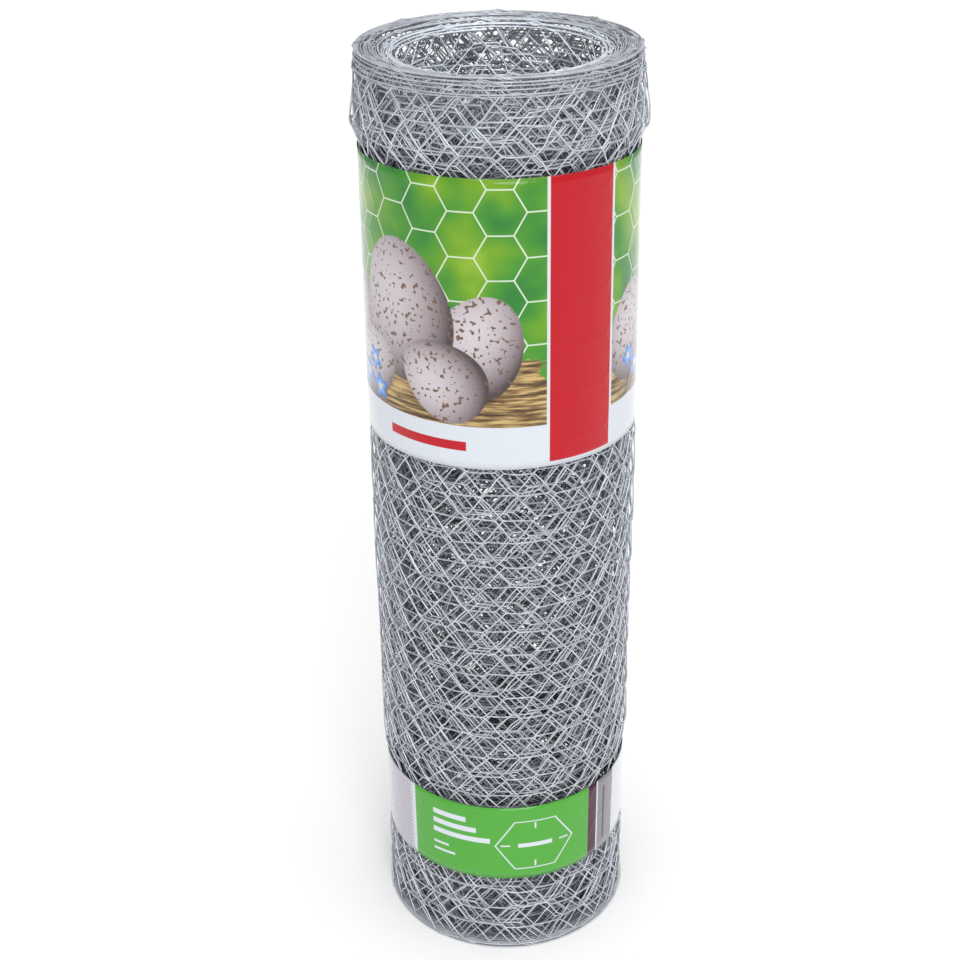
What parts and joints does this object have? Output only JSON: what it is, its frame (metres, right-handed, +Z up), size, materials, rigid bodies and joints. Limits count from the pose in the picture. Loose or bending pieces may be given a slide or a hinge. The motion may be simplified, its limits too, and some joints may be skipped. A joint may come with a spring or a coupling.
{
  "type": "roll of hexagonal wire netting",
  "caption": "Roll of galvanised hexagonal wire netting standing on one end, wound round a hollow centre and held closed by a wide and a narrow wrap label of printed film.",
  "frame": {"origin": "on the roll's axis, at the floor that the roll stands on", "axes": "+Z up along the roll's axis; the labels' glued seams face +Y, and -Y is the front of the labels"},
  "size_m": [0.1474, 0.1474, 0.51],
  "materials": {
    "galvanised_wire": "hot-dip galvanised wire, light grey, part bright and part dull",
    "upper_label_film": "printed gloss film",
    "lower_label_film": "printed gloss film"
  },
  "bodies": {
    "root": {"netting_roll": "galvanised_wire", "upper_label": "upper_label_film", "lower_label": "lower_label_film"}
  },
  "joints": []
}
